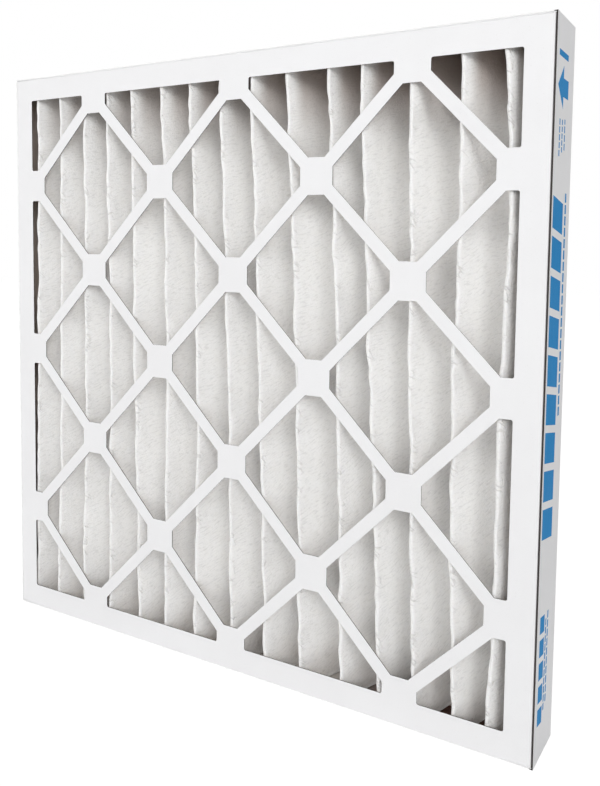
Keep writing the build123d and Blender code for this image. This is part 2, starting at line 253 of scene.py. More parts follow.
def sheet_section(settings, heights):
    """Middle line of the pleated sheet at each height: x and y as heights by steps.

    The sheet goes round a circle at every fold and straight between the circles, on the tangent
    that crosses from one side to the other. The direction of the tangent is that of the line of
    centres less the angle whose sine is the sum of the two radii over their distance. Each flank
    bulges by a sine of half a turn and waves slowly up its height. The last rear folds lean to the
    right by the sixth power of their place in the row.
    """
    rng = np.random.default_rng(settings.seed)
    up = (heights - MEDIA_LOW.z) / (MEDIA_HIGH.z - MEDIA_LOW.z)
    half = settings.thickness / 2
    ridges = ridge_places(settings, up)
    for pitch, share in RIDGE_KINKS:
        ridges = ridges + kinked(rng, ridges.shape[1], heights, pitch, settings.kink * share)
    along = np.linspace(0, 1, ridges.shape[1] - 1)
    valleys = (ridges[:, 1:] + ridges[:, :-1]) / 2 + settings.lean * along ** 6
    valleys = valleys + kinked(rng, valleys.shape[1], heights, VALLEY_KINK_PITCH, settings.kink)
    count = ridges.shape[1] + valleys.shape[1] + 2
    x = np.empty((len(heights), count))
    x[:, 0], x[:, -1] = MEDIA_LOW.x + half * END_SHARE, MEDIA_HIGH.x - half * END_SHARE
    x[:, 1:-1:2], x[:, 2:-1:2] = ridges, valleys
    depth = kinked(rng, count, heights, FOLD_DEPTH_PITCH, FOLD_DEPTH) + FOLD_DEPTH
    y = MEDIA_HIGH.y - half - settings.rear_radius - depth
    y[:, 1::2] = MEDIA_LOW.y + half + settings.front_radius + depth[:, 1::2]
    y[:, [0, -1]] = MEDIA_HIGH.y - settings.thickness
    turn = np.full(count, settings.rear_radius)
    turn[1::2] = -settings.front_radius
    turn[[0, -1]] = 0
    across, deep = np.diff(x, axis=1), np.diff(y, axis=1)
    heading = np.arctan2(deep, across) - np.arcsin((turn[:-1] - turn[1:]) / np.hypot(across, deep))

    def on_circle(fold, angle):
        return (x[:, fold:fold + 1] - turn[fold] * np.sin(angle),
                y[:, fold:fold + 1] + turn[fold] * np.cos(angle))

    steps = np.arange(1, settings.flank_steps) / settings.flank_steps
    part = np.linspace(0, 1, settings.fold_steps + 1)
    pieces = [on_circle(0, heading[:, :1])]
    for flank in range(count - 1):
        angle = heading[:, flank:flank + 1]
        start_x, start_y = on_circle(flank, angle)
        end_x, end_y = on_circle(flank + 1, angle)
        swell = np.full(len(heights), settings.bow)
        for pitch, share in FLANK_WAVES:
            turns = heights / (pitch * rng.uniform(*WAVE_SPREAD)) + rng.uniform()
            swell = swell + settings.wave * share * np.sin(2 * np.pi * turns)
        sway = SWAY_SHARE * np.sin(2 * np.pi * (heights / SWAY_PITCH + rng.uniform()))
        bulge = swell[:, None] * np.sin(np.pi * steps) * (1 + sway[:, None] * np.cos(np.pi * steps))
        bulge = bulge * (0 if flank in (0, count - 2) else 1 if flank % 2 else -1)
        pieces.append((start_x + (end_x - start_x) * steps + bulge * np.sin(angle),
                       start_y + (end_y - start_y) * steps - bulge * np.cos(angle)))
        if flank < count - 2:
            turned = angle * (1 - part) + heading[:, flank + 1:flank + 2] * part
            pieces.append(on_circle(flank + 1, turned))
    pieces.append(on_circle(count - 1, heading[:, -1:]))
    return tuple(np.concatenate(parts, axis=1) for parts in zip(*pieces))


def sheet_surface(settings, heights):
    """Points of the sheet's middle surface, and its unit normals towards the rear.

    A normal is the cross product of the surface's two directions, up the sheet and along it.
    """
    x, y = sheet_section(settings, heights)
    points = np.stack([x, y, heights[:, None] + np.zeros_like(x)], axis=2)
    upward, along = np.gradient(points, axis=(0, 1))
    normal = np.cross(upward, along)
    return points, normal / np.linalg.norm(normal, axis=2, keepdims=True)


def along_sheet(settings, points):
    """Place of every step along the sheet at half its height, and its way from the nearest ridge.

    The place is the running sum of the step lengths.
    """
    row = points[len(points) // 2]
    arc = np.concatenate([[0], np.cumsum(np.hypot(np.diff(row[:, 0]), np.diff(row[:, 1])))])
    block = settings.flank_steps + settings.fold_steps
    start = settings.flank_steps + 2 * block * np.arange(len(RIDGE_DRIFT))
    way = np.abs(arc[:, None] - (arc[start] + arc[start + settings.fold_steps]) / 2)
    return arc, way.min(axis=1)


def grid_faces(number):
    """Four corners of each face of a grid of vertex numbers."""
    corners = number[:-1, :-1], number[:-1, 1:], number[1:, 1:], number[1:, :-1]
    return np.stack(corners, axis=2).reshape(-1, 4)


def band_faces(a, b):
    """Faces between two lines of vertex numbers."""
    return np.stack([a[:-1], b[:-1], b[1:], a[1:]], axis=1)


def new_piece(name, points, faces):
    """A smooth mesh object at the origin from an array of points and a list of faces."""
    mesh = bpy.data.meshes.new(name)
    mesh.from_pydata(points.reshape(-1, 3).tolist(), [], faces)
    mesh.polygons.foreach_set("use_smooth", np.full(len(mesh.polygons), True))
    mesh.update()
    piece = bpy.data.objects.new(name, mesh)
    bpy.context.scene.collection.objects.link(piece)
    return piece


def point_values(piece, name, values):
    """Stores one number, or three, for each vertex under a name that a material can read."""
    kind, field = ("FLOAT", "value") if values.ndim == 1 else ("FLOAT_VECTOR", "vector")
    attribute = piece.data.attributes.new(name, kind, "POINT")
    attribute.data.foreach_set(field, values.astype(np.float32).ravel())


def tube(path, across, upward, radius, sides):
    """Closed tube along a path of points, with the two directions of its section.

    Point = path + radius times (cosine of the turn times across + sine of the turn times upward).
    """
    turn = np.arange(sides)[None, :, None] * 2 * np.pi / sides
    ring = np.cos(turn) * across[:, None] + np.sin(turn) * upward[:, None]
    points = path[:, None] + radius * ring
    start = len(path) * sides
    number = np.arange(start).reshape(-1, sides)
    following = np.roll(number, -1, axis=1)
    faces = np.stack([number[:-1], following[:-1], following[1:], number[1:]], axis=2)
    points = np.concatenate([points.reshape(-1, 3), path[:1], path[-1:]])
    first_cap = np.stack([following[0], number[0], np.full(sides, start)], axis=1)
    last_cap = np.stack([number[-1], following[-1], np.full(sides, start + 1)], axis=1)
    return points, faces.reshape(-1, 4), np.concatenate([first_cap, last_cap])


def join_tubes(name, tubes):
    """One object from several tubes."""
    points, faces, shift = [], [], 0
    for tube_points, quads, caps in tubes:
        points.append(tube_points)
        faces += (quads + shift).tolist() + (caps + shift).tolist()
        shift += len(tube_points)
    return new_piece(name, np.concatenate(points), faces)


class Graph:
    """Lays out the nodes of a material or a node group."""

    def __init__(self, tree):
        self.tree = tree
        self.tree.nodes.clear()

    def add(self, kind, inputs=None, **settings):
        node = self.tree.nodes.new(kind)
        for name, value in settings.items():
            setattr(node, name, value)
        for socket, value in (inputs or {}).items():
            self.feed(node.inputs[socket], value)
        return node

    def feed(self, socket, value):
        """Links an output to a socket, or sets its number, vector or opaque colour."""
        if isinstance(value, bpy.types.NodeSocket):
            self.tree.links.new(value, socket)
        else:
            socket.default_value = (*value[:3], 1) if socket.type == "RGBA" else value

    def math(self, operation, first, second=0.0, third=0.0):
        node = self.add("ShaderNodeMath", operation=operation)
        for socket, value in zip(node.inputs, (first, second, third)):
            self.feed(socket, value)
        return node.outputs[0]

    def plus(self, first, second):
        return self.math("ADD", first, second)

    def minus(self, first, second):
        return self.math("SUBTRACT", first, second)

    def times(self, first, second):
        return self.math("MULTIPLY", first, second)

    def over(self, first, second):
        return self.math("DIVIDE", first, second)

    def above(self, first, second):
        return self.math("GREATER_THAN", first, second)

    def below(self, first, second):
        return self.math("LESS_THAN", first, second)

    def larger(self, first, second):
        return self.math("MAXIMUM", first, second)

    def size(self, value):
        return self.math("ABSOLUTE", value)

    def ramp(self, value, low, high, bottom=0.0, top=1.0, kind="SMOOTHSTEP"):
        return self.add("ShaderNodeMapRange", {
            "Value": value, "From Min": low, "From Max": high, "To Min": bottom, "To Max": top,
        }, interpolation_type=kind).outputs["Result"]

    def mix(self, share, first, second):
        node = self.add("ShaderNodeMix", data_type="RGBA")
        for name, kind, given in (("Factor", "VALUE", share), ("A", "RGBA", first),
                                  ("B", "RGBA", second)):
            self.feed(next(s for s in node.inputs if (s.name, s.type) == (name, kind)), given)
        return next(s for s in node.outputs if s.type == "RGBA")

    def noise(self, place, scale, detail=3.0, roughness=0.55, distortion=0.0):
        return self.add("ShaderNodeTexNoise", {
            "Vector": place, "Scale": scale, "Detail": detail, "Roughness": roughness,
            "Distortion": distortion}).outputs["Fac"]

    def object_place(self):
        return self.add("ShaderNodeTexCoord").outputs["Object"]

    def split(self, vector):
        return self.add("ShaderNodeSeparateXYZ", {"Vector": vector}).outputs

    def join(self, **parts):
        return self.add("ShaderNodeCombineXYZ", parts).outputs[0]

    def vectors(self, operation, first, second):
        node = self.add("ShaderNodeVectorMath", {0: first, 1: second}, operation=operation)
        return node.outputs[0]

    def drawn_out(self, place, slant, length, spacing):
        """A place turned by a slant, then shrunk along and across it, to draw a noise out."""
        node = self.add("ShaderNodeVectorRotate", {"Vector": place, "Rotation": self.join(Z=slant)},
                        rotation_type="EULER_XYZ")
        scale = self.join(X=self.over(1.0, length), Y=self.over(1.0, spacing), Z=1.0)
        return self.vectors("MULTIPLY", node.outputs[0], scale)

    def group(self, label, build, **inputs):
        """Places the shared node group of that name, which is built on its first use."""
        tree = bpy.data.node_groups.get(label) or build(label)
        node = self.add("ShaderNodeGroup", node_tree=tree)
        for name, value in inputs.items():
            self.feed(node.inputs[name.replace("_", " ")], value)
        return node.outputs

    def surface(self, colour, rough, height, strength, distance, **constants):
        """Ends a material with a bump of the given height under a Principled shader."""
        bump = self.add("ShaderNodeBump", {"Strength": strength, "Distance": distance,
                                           "Height": height})
        shader = self.add("ShaderNodeBsdfPrincipled", {
            "Base Color": colour, "Roughness": rough, "Normal": bump.outputs[0],
            **{name.replace("_", " "): value for name, value in constants.items()}})
        self.add("ShaderNodeOutputMaterial", {"Surface": shader.outputs[0]})


def new_group(name, inputs, outputs):
    """A node group with its named sockets, and the graph, inputs and outputs inside it.

    An input with no default is a vector, and everything else is a value.
    """
    tree = bpy.data.node_groups.new(name, "ShaderNodeTree")
    for label, default in inputs.items():
        kind = "NodeSocketVector" if default is None else "NodeSocketFloat"
        socket = tree.interface.new_socket(label, in_out="INPUT", socket_type=kind)
        if default is not None:
            socket.default_value = default
    for label in outputs:
        tree.interface.new_socket(label, in_out="OUTPUT", socket_type="NodeSocketFloat")
    graph = Graph(tree)
    return graph, graph.add("NodeGroupInput").outputs, graph.add("NodeGroupOutput").inputs


def fibre_group(name):
    """Non-woven fibre: soft clumps, single fibres that cross, and their height."""
    graph, given, result = new_group(
        name, {"Place": None, "Clump size": 0.006, "Fibre size": 0.0009}, ("Clump", "Height"))
    place = given["Place"]
    fibre_scale = graph.over(1.0, given["Fibre size"])
    clump = graph.noise(place, graph.over(1.0, given["Clump size"]), detail=4.0, roughness=0.6)

    def fibres(rotation, scale):
        thin = graph.add("ShaderNodeMapping", {"Vector": place, "Rotation": rotation,
                                               "Scale": scale}).outputs[0]
        return graph.noise(thin, fibre_scale, detail=2.0, roughness=0.7, distortion=0.6)

    crossing = graph.larger(fibres((0.3, 0.2, 0.5), (1.0, 1.0, 0.35)),
                            fibres((0.2, 1.2, -0.4), (0.35, 1.0, 1.0)))
    graph.feed(result["Clump"], graph.ramp(clump, 0.3, 0.7))
    graph.feed(result["Height"], graph.plus(graph.times(crossing, 0.6), graph.times(clump, 0.7)))
    return graph.tree


def stroke_group(name):
    """Brushed fibre: short strokes that slant a little and sway from place to place.

    A noise on the sheet's own place, turned by the slant and stretched along it; a broad noise
    shifts the strokes up and down.
    """
    graph, given, result = new_group(
        name, {"Place": None, "Slant": -0.35, "Length": 0.006, "Spacing": 0.0013, "Sway": 0.012},
        ("Stroke",))
    sway = graph.times(graph.noise(given["Place"], 28.0, detail=1.0), given["Sway"])
    place = graph.vectors("ADD", given["Place"], graph.join(Y=sway))
    strokes = graph.drawn_out(place, given["Slant"], given["Length"], given["Spacing"])
    graph.feed(result["Stroke"], graph.noise(strokes, 1.0, detail=3.0, roughness=0.6))
    return graph.tree


def wrinkle_group(name):
    """Fine slanting wrinkles, such as a fold presses into a soft sheet, in patches.

    A line runs where a stretched, slanted noise passes its middle value; a broad noise leaves
    the lines out in places.
    """
    graph, given, result = new_group(
        name, {"Place": None, "Slant": 0.75, "Length": 0.007, "Spacing": 0.0028, "Thinness": 0.045,
               "Bareness": 0.48}, ("Wrinkle",))
    folds = graph.drawn_out(given["Place"], given["Slant"], given["Length"], given["Spacing"])
    wave = graph.noise(folds, 0.5, detail=2.0, roughness=0.4, distortion=0.3)
    line = graph.ramp(graph.size(graph.minus(wave, 0.5)), 0.0, given["Thinness"], 1.0, 0.0)
    patch = graph.noise(given["Place"], 65.0, detail=1.0)
    here = graph.ramp(patch, given["Bareness"], graph.plus(given["Bareness"], 0.15))
    graph.feed(result["Wrinkle"], graph.times(line, here))
    return graph.tree


def paper_group(name):
    """Clay-coated board: faint clouds, fine specks and the lines of its rollers."""
    graph, given, result = new_group(
        name, {"Place": None, "Cloud size": 0.05, "Speck size": 0.0012},
        ("Cloud", "Speck", "Height"))
    cloud = graph.noise(given["Place"], graph.over(1.0, given["Cloud size"]), detail=4.0)
    speck = graph.noise(given["Place"], graph.over(1.0, given["Speck size"]), detail=2.0)
    rolled = graph.add("ShaderNodeMapping", {"Vector": given["Place"],
                                             "Scale": (500.0, 500.0, 14.0)}).outputs[0]
    streak = graph.noise(rolled, 1.0, detail=2.0)
    graph.feed(result["Cloud"], graph.ramp(cloud, 0.3, 0.7))
    graph.feed(result["Speck"], speck)
    graph.feed(result["Height"], graph.plus(graph.times(speck, 0.7), graph.times(streak, 0.3)))
    return graph.tree


def board_side_group(name):
    """Which part of the folded board shows: its coated outside, a window's cut edge or its rim.

    The outside has its normal away from the middle of the tray: along the face's own direction, or
    along X or Z past the windows' field. A window's edge has its normal across the depth inside
    that field. The rim is the cut edge at the very border and what shows of the inside next to it.
    """
    graph, given, result = new_group(
        name, {"Face direction": -1.0, "Middle height": 0.25, "Field": 0.24, "Border": 0.246,
               "Rim depth": -0.02}, ("Outside", "Cut", "Rim"))
    place = graph.split(graph.object_place())
    normal = graph.split(graph.add("ShaderNodeNewGeometry").outputs["True Normal"])
    height = graph.minus(place["Z"], given["Middle height"])
    on_face = graph.above(graph.times(normal["Y"], given["Face direction"]), 0.3)

    def on_wall(centred, across):
        away = graph.above(graph.times(across, graph.math("SIGN", centred)), 0.3)
        return graph.times(away, graph.above(graph.size(centred), given["Field"]))

    walls = graph.larger(on_wall(place["X"], normal["X"]), on_wall(height, normal["Z"]))
    graph.feed(result["Outside"], graph.larger(on_face, walls))
    across_depth = graph.below(graph.size(normal["Y"]), 0.5)
    widest = graph.larger(graph.size(place["X"]), graph.size(height))
    graph.feed(result["Cut"], graph.times(across_depth, graph.below(widest, given["Field"])))
    in_front = graph.below(place["Y"], given["Rim depth"])
    at_border = graph.above(widest, given["Border"])
    inside = graph.minus(1.0, graph.above(walls, 0.5))
    graph.feed(result["Rim"], graph.times(graph.times(in_front, at_border), inside))
    return graph.tree


def ink_run_group(name):
    """A row of like slanted blocks up the side wall: 1 inside them.

    A point is inside when its depth is within half the width of the middle line, its height is
    between the two ends, and the fraction of its steps from the end is under the filled share.
    """
    graph, given, result = new_group(
        name, {"Depth": 0.0, "Height": 0.0, "Middle": 0.0, "Width": 0.01, "Low": 0.0, "High": 0.1,
               "Step": 0.02, "Filled": 0.8, "Slant": 0.0}, ("Ink",))
    off = graph.minus(given["Depth"], given["Middle"])
    near = graph.below(graph.size(off), graph.times(given["Width"], 0.5))
    slanted = graph.plus(given["Height"], graph.times(off, given["Slant"]))
    between = graph.times(graph.above(slanted, given["Low"]), graph.below(slanted, given["High"]))
    steps = graph.over(graph.minus(slanted, given["Low"]), given["Step"])
    filled = graph.below(graph.math("FRACT", steps), given["Filled"])
    graph.feed(result["Ink"], graph.times(graph.times(near, filled), between))
    return graph.tree


def ink_arrow_group(name):
    """A plain block arrow along the depth: 1 inside its shaft and its three-cornered head."""
    graph, given, result = new_group(
        name, {"Depth": 0.0, "Height": 0.0, "Tip": 0.0, "Tail": 0.0, "Neck": 0.0, "Middle": 0.0,
               "Shaft": 0.01, "Head": 0.02}, ("Ink",))
    off = graph.size(graph.minus(given["Height"], given["Middle"]))
    along = graph.times(graph.below(given["Depth"], given["Tail"]),
                        graph.above(given["Depth"], given["Neck"]))
    shaft = graph.times(along, graph.below(off, graph.times(given["Shaft"], 0.5)))
    share = graph.over(graph.minus(given["Depth"], given["Tip"]),
                       graph.minus(given["Neck"], given["Tip"]))
    reach = graph.times(graph.times(given["Head"], 0.5), share)
    within = graph.times(graph.below(share, 1.0), graph.above(share, 0.0))
    head = graph.times(graph.below(off, reach), within)
    graph.feed(result["Ink"], graph.larger(shaft, head))
    return graph.tree


def new_material(name):
    material = bpy.data.materials.new(name)
    material.use_nodes = True
    return material, Graph(material.node_tree)


def dress(piece, material):
    """Gives a piece one material in every slot."""
    piece.data.materials.clear()
    piece.data.materials.append(material)


def medium_material(settings):
    """Off-white fleece: fibres, brushed strokes, wrinkles with painted shade in their creases, a
    painted highlight on the crests, painted shade under the top bar and on the last flank, and
    painted brown shade with glue stain at the ends.
    """
    material, graph = new_material("Filter medium")
    place = graph.object_place()
    across, _, height = graph.split(place)
    sheet = graph.add("ShaderNodeAttribute", attribute_name="sheet_place").outputs["Vector"]
    way = graph.add("ShaderNodeAttribute", attribute_name="ridge_way").outputs["Fac"]
    fine = graph.group("Non-woven fibre", fibre_group, Place=place, Clump_size=0.0028,
                       Fibre_size=0.0009)
    broad = graph.group("Non-woven fibre", fibre_group, Place=place, Clump_size=0.024,
                        Fibre_size=0.005)
    wrinkle = graph.group("Fold wrinkles", wrinkle_group, Place=sheet)["Wrinkle"]
    wrinkle = graph.times(wrinkle, graph.ramp(way, 0.0010, 0.0060, 1.0, 0.0))
    stroke = graph.group("Brushed fibre", stroke_group, Place=sheet)["Stroke"]
    grain = graph.noise(place, 780.0, detail=3.0, roughness=0.7)
    crest = graph.ramp(way, 0.0010, 0.0026, 1.0, 0.0)
    flank = graph.ramp(way, 0.003, 0.016)

    fleece = graph.mix(graph.times(fine["Clump"], 0.7), settings.fibre, settings.hollow)
    fleece = graph.mix(graph.times(broad["Clump"], 0.7), fleece, settings.hollow)
    fleece = graph.mix(graph.ramp(grain, 0.42, 0.68, 0.0, 0.22), fleece, GRAIN_TONE)
    fleece = graph.mix(graph.ramp(stroke, 0.48, 0.70, 0.0, 0.5), fleece, STROKE_TONE)
    # Painted highlight: the crests pass half way into the clean fibre colour, lighter than the
    # flanks
    fleece = graph.mix(graph.times(crest, 0.5), fleece, settings.fibre)
    # Painted shade in the creases of the wrinkles
    fleece = graph.mix(graph.times(wrinkle, 0.3), fleece, CREASE_SHADE_TONE)
    low, high = MEDIA_LOW.z, MEDIA_HIGH.z
    # Painted shade under the top bar: the flanks darken towards the top
    under_bar_shade = graph.ramp(height, high - 0.140, high - 0.020, 0.0, 0.32)
    fleece = graph.mix(graph.times(under_bar_shade, flank), fleece, TOP_BAR_SHADE_TONE)
    # Painted brown shade near the upper and lower ends, where the tray's brown inside shades the
    # pleats, together with glue stain at the ends; at the top there is more of it towards the right
    brown = graph.ramp(across, MEDIA_LOW.x, MEDIA_HIGH.x, 0.3, 0.85, kind="LINEAR")
    upper = graph.ramp(height, high - 0.070, high - 0.008, 0.0, brown)
    lower = graph.ramp(height, low + 0.010, low + 0.040, 0.12, 0.0)
    fleece = graph.mix(graph.times(graph.larger(upper, lower), flank), fleece, BROWN_SHADE_AND_GLUE_TONE)
    # Painted shade on the last flank, which the tray's right border shades
    last_flank_shade = graph.ramp(across, MEDIA_HIGH.x - 0.028, MEDIA_HIGH.x - 0.012, 0.0, 0.55)
    off_crest = graph.ramp(way, 0.001, 0.004, 0.3, 1.0)
    fleece = graph.mix(graph.times(last_flank_shade, off_crest), fleece, LAST_FLANK_SHADE_TONE)

    relief = graph.plus(fine["Height"], graph.times(broad["Height"], 1.2))
    relief = graph.plus(relief, graph.times(grain, 0.6))
    relief = graph.minus(relief, graph.times(stroke, 1.1))
    relief = graph.minus(relief, graph.times(wrinkle, 1.8))
    graph.surface(fleece, 0.95, relief, 0.6, 0.0007, Sheen_Weight=0.12, Sheen_Roughness=0.5,
                  Specular_IOR_Level=0.2, Subsurface_Weight=0.4, Subsurface_Scale=0.0015,
                  Subsurface_Radius=(1.0, 0.97, 0.92))
    return material


def board_material(name, settings, face_direction, printed):
    """Coated paperboard: white outside, raw inside, dark cut edges, print on the side wall, and on
    the printed tray a rim with painted light and painted shade of the seam at the right.
    """
    material, graph = new_material(name)
    place = graph.object_place()
    side = graph.group("Board side", board_side_group, Face_direction=face_direction,
                       Middle_height=(REAR_LOW.z + REAR_HIGH.z) / 2, Field=WINDOW_FIELD,
                       Border=FRONT_HIGH.x - GROOVE, Rim_depth=FRONT_LOW.y + 0.0022)
    paper = graph.group("Board surface", paper_group, Place=place, Cloud_size=0.06,
                        Speck_size=0.0011)
    coat = graph.mix(graph.times(paper["Cloud"], 0.35), settings.white, CLOUD_TONE)
    coat = graph.mix(graph.ramp(paper["Speck"], 0.62, 0.78, 0.0, 0.25), coat, SPECK_TONE)
    if printed:
        coat = print_over(graph, coat, place, settings)
    raw = graph.mix(paper["Speck"], settings.raw, RAW_TONE)
    surface = graph.mix(side["Outside"], raw, coat)
    surface = graph.mix(side["Cut"], surface, settings.cut)
    if printed:
        # Painted light and shade on the outer tray's rim: near white to lighten the shade in the
        # groove, and the dark cut colour at the right side as painted shade of the seam gap
        seam_painted_shade = graph.ramp(graph.split(place)["X"], FRONT_HIGH.x - 0.002, FRONT_HIGH.x)
        surface = graph.mix(side["Rim"], surface, graph.mix(seam_painted_shade, RIM_PAINTED_LIGHT_TONE, settings.cut))
    rough = graph.math("MULTIPLY_ADD", side["Outside"], -0.3, 0.85)
    rough = graph.plus(rough, graph.times(paper["Cloud"], 0.06))
    graph.surface(surface, rough, paper["Height"], 0.25, 0.0002, Specular_IOR_Level=0.12)
    return material


def print_over(graph, surface, place, settings):
    """Lays the plain blue print over the right side wall of a board."""
    across, deep, height = graph.split(place)
    front, top = FRONT_LOW.y, REAR_HIGH.z
    ink = graph.group("Ink arrow", ink_arrow_group, Depth=deep, Height=height, Tip=front + 0.006,
                      Tail=front + 0.031, Neck=front + 0.019, Middle=top - 0.0445, Shaft=0.012,
                      Head=0.028)["Ink"]
    for middle, width, low, high, step, filled, slant in INK_RUNS:
        run = graph.group("Ink run", ink_run_group, Depth=deep, Height=height,
                          Middle=front + middle / 1000, Width=width / 1000, Low=top - low / 1000,
                          High=top - high / 1000, Step=step / 1000, Filled=filled, Slant=slant)
        ink = graph.larger(ink, run["Ink"])
    on_wall = graph.above(across, FRONT_HIGH.x + GROOVE)
    worn = graph.ramp(graph.noise(place, 2600.0, detail=2.0), 0.25, 0.5, 0.94, 1.0)
    return graph.mix(graph.times(graph.times(ink, on_wall), worn), surface, settings.ink)


def wire_material(settings):
    """Galvanised wire: dull zinc with darker patches."""
    material, graph = new_material("Galvanised wire")
    patch = graph.noise(graph.object_place(), 900.0, detail=3.0)
    grey = graph.mix(graph.ramp(patch, 0.4, 0.65), settings.zinc, ZINC_TONE)
    rough = graph.ramp(patch, 0.3, 0.7, 0.35, 0.6)
    graph.surface(grey, rough, patch, 0.3, 0.0001, Metallic=1.0)
    return material


def lip_material(settings):
    """White paper of the seam lip: the board's own clouds and specks, a little rougher."""
    material, graph = new_material("Paper lip")
    paper = graph.group("Board surface", paper_group, Place=graph.object_place(), Cloud_size=0.03,
                        Speck_size=0.0008)
    white = graph.mix(graph.times(paper["Cloud"], 0.4), settings.white, LIP_TONE)
    rough = graph.math("MULTIPLY_ADD", paper["Speck"], 0.2, 0.6)
    graph.surface(white, rough, paper["Height"], 0.3, 0.0002, Specular_IOR_Level=0.12)
    return material


def glue_material(settings):
    """Set glue, uneven and a little glossy: pale on the left, and browner to the right as painted
    shade.
    """
    material, graph = new_material("Set glue")
    place = graph.object_place()
    pool = graph.noise(place, 160.0, detail=3.0)
    brown = graph.mix(graph.ramp(pool, 0.35, 0.65), settings.glue, DARK_GLUE_TONE)
    # Painted shade: the glue turns from pale to brown towards the right, where it lies in shade
    shade_to_right = graph.ramp(graph.split(place)["X"], 0.085, 0.135)
    rough = graph.ramp(pool, 0.3, 0.7, 0.35, 0.6)
    graph.surface(graph.mix(shade_to_right, PALE_GLUE_TONE, brown), rough, pool, 0.6, 0.0006)
    return material


class FILTER_OT_medium(bpy.types.Operator):
    """Builds the pleated medium as one closed sheet with rounded, slightly crooked folds"""
    bl_idname = "panel_filter.medium"
    bl_label = "Pleated medium"

    def execute(self, context):
        settings = context.scene.filter_medium
        heights = np.linspace(MEDIA_LOW.z, MEDIA_HIGH.z, settings.rows + 1)
        middle, normal = sheet_surface(settings, heights)
        arc, way = along_sheet(settings, middle)
        rows, columns, _ = middle.shape
        rng = np.random.default_rng(settings.seed + 1)
        crest = np.clip(1 - way / DENT_REACH, 0, 1) ** 2
        dents = (1 + kinked(rng, columns, heights, DENT_PITCH, 1.0)) * crest * settings.dent
        deep = np.clip((middle[..., 1] - MEDIA_LOW.y) / (MEDIA_HIGH.y - MEDIA_LOW.y), 0, 1)
        low = np.clip(1 - (heights - MEDIA_LOW.z) / LIFT_HEIGHT, 0, 1)[:, None]
        to_right = np.clip((middle[..., 0] - LIFT_FROM) / LIFT_RUN, LEAST_LIFT, 1)
        middle = middle + normal * dents[..., None]
        middle[..., 2] += settings.short * deep * low * to_right
        half = settings.thickness / 2
        sides = np.stack([middle - normal * half, middle + normal * half])
        sides[..., 2] = np.clip(sides[..., 2], MEDIA_LOW.z, MEDIA_HIGH.z)
        front, back = np.arange(2 * rows * columns).reshape(2, rows, columns)
        faces = np.concatenate([
            grid_faces(front), grid_faces(back)[:, ::-1],
            band_faces(front[0], back[0])[:, ::-1], band_faces(front[-1], back[-1]),
            band_faces(front[:, 0], back[:, 0]), band_faces(front[:, -1], back[:, -1])[:, ::-1],
        ])
        piece = new_piece("pleated_sheet", sides, faces.tolist())
        point_values(piece, "ridge_way", np.tile(way, 2 * rows))
        sheet = np.zeros((2, rows, columns, 3))
        sheet[..., 0], sheet[..., 1] = arc, heights[:, None]
        point_values(piece, "sheet_place", sheet)
        dress(piece, medium_material(settings))
        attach(piece, "root")
        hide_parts("pleated_media")
        return {"FINISHED"}


class FILTER_OT_wires(bpy.types.Operator):
    """Builds the galvanised wire grid on the leaving side of the medium"""
    bl_idname = "panel_filter.wires"
    bl_label = "Wire grid"

    def execute(self, context):
        settings, medium = context.scene.filter_wires, context.scene.filter_medium
        radius = settings.diameter / 2
        bottom, top = MEDIA_LOW.z + settings.end_inset, MEDIA_HIGH.z - settings.end_inset
        count = int((top - bottom) / settings.cross_pitch) + 1
        start = (bottom + top - (count - 1) * settings.cross_pitch) / 2
        heights = np.linspace(MEDIA_LOW.z, MEDIA_HIGH.z, 4 * medium.rows + 1)
        middle, normal = sheet_surface(medium, heights)
        skin = medium.thickness / 2 + settings.clearance
        tubes = []
        for number in range(count):
            row = int(np.argmin(np.abs(heights - start - number * settings.cross_pitch)))
            flat = normal[row] * (1, 1, 0)
            flat = flat / np.linalg.norm(flat, axis=1, keepdims=True)
            path = middle[row] + flat * (skin + radius)
            upward = np.tile((0.0, 0.0, 1.0), (len(path), 1))
            tubes.append(tube(path, upward, flat, radius, settings.sides))
        block = medium.flank_steps + medium.fold_steps
        first = 1 + (medium.flank_steps - 1) // 2
        inside = (heights > bottom) & (heights < top)
        lines = middle + normal * (skin + settings.diameter + settings.clearance + radius)
        for flank in range(2 * len(RIDGE_DRIFT)):
            path = lines[inside, first + flank * block][::6]
            across, deep = (np.tile(way, (len(path), 1)) for way in ((1.0, 0, 0), (0, 1.0, 0)))
            tubes.append(tube(path, across, deep, radius, settings.sides))
        piece = join_tubes("wire_grid", tubes)
        dress(piece, wire_material(settings))
        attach(piece, "root")
        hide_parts("wire_backing")
        return {"FINISHED"}


class FILTER_OT_board(bpy.types.Operator):
    """Gives the two paperboard trays their coated, raw, cut and printed finishes"""
    bl_idname = "panel_filter.board"
    bl_label = "Paperboard trays"

    def execute(self, context):
        settings = context.scene.filter_board
        inner = board_material("Inner tray board", settings, -1.0, False)
        outer = board_material("Outer tray board", settings, 1.0, True)
        dress(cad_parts["front_frame"], inner)
        dress(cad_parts["rear_frame"], outer)
        return {"FINISHED"}


